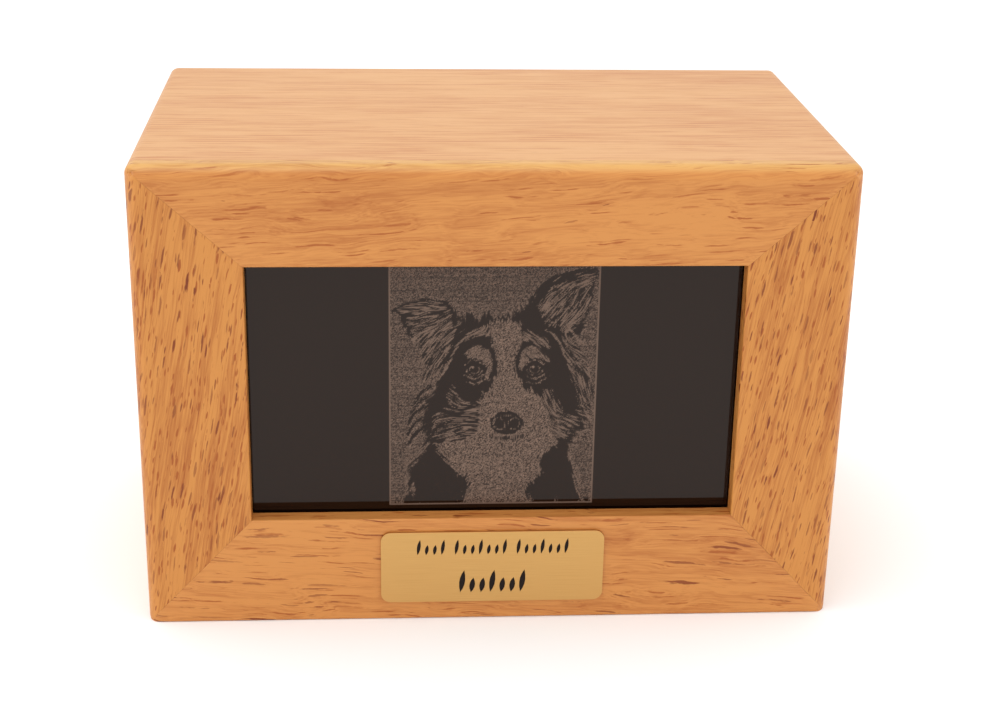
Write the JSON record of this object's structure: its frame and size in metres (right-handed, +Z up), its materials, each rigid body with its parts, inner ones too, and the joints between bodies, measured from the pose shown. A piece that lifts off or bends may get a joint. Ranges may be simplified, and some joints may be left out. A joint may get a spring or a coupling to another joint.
{
  "type": "wooden box urn with a marble tile",
  "caption": "Hollow oak box urn for a pet's ashes: mitred front frame around an engraved black marble tile, brass nameplate, and a base panel held by countersunk screws.",
  "frame": {"origin": "middle of the whole object's underside, on the surface that it stands on; the nameplate counts, so the box's front face is at y = -0.06955 m", "axes": "+Z up, -Y out of the front with the tile and the nameplate, +X to the right of someone who faces the front"},
  "size_m": [0.2254, 0.141, 0.1542],
  "materials": {
    "frame_oak": "satin",
    "board_oak": "satin",
    "marble": "polished",
    "brass": "satin",
    "screw_steel": "satin"
  },
  "bodies": {
    "root": {"frame_top_rail": "frame_oak", "frame_bottom_rail": "frame_oak", "frame_left_stile": "frame_oak", "frame_right_stile": "frame_oak", "marble_tile": "marble", "brass_nameplate": "brass", "top_board": "board_oak", "left_side_board": "board_oak", "right_side_board": "board_oak", "back_board": "board_oak", "base_panel": "board_oak", "base_screw_1": "screw_steel", "base_screw_2": "screw_steel", "base_screw_3": "screw_steel", "base_screw_4": "screw_steel"}
  },
  "joints": []
}
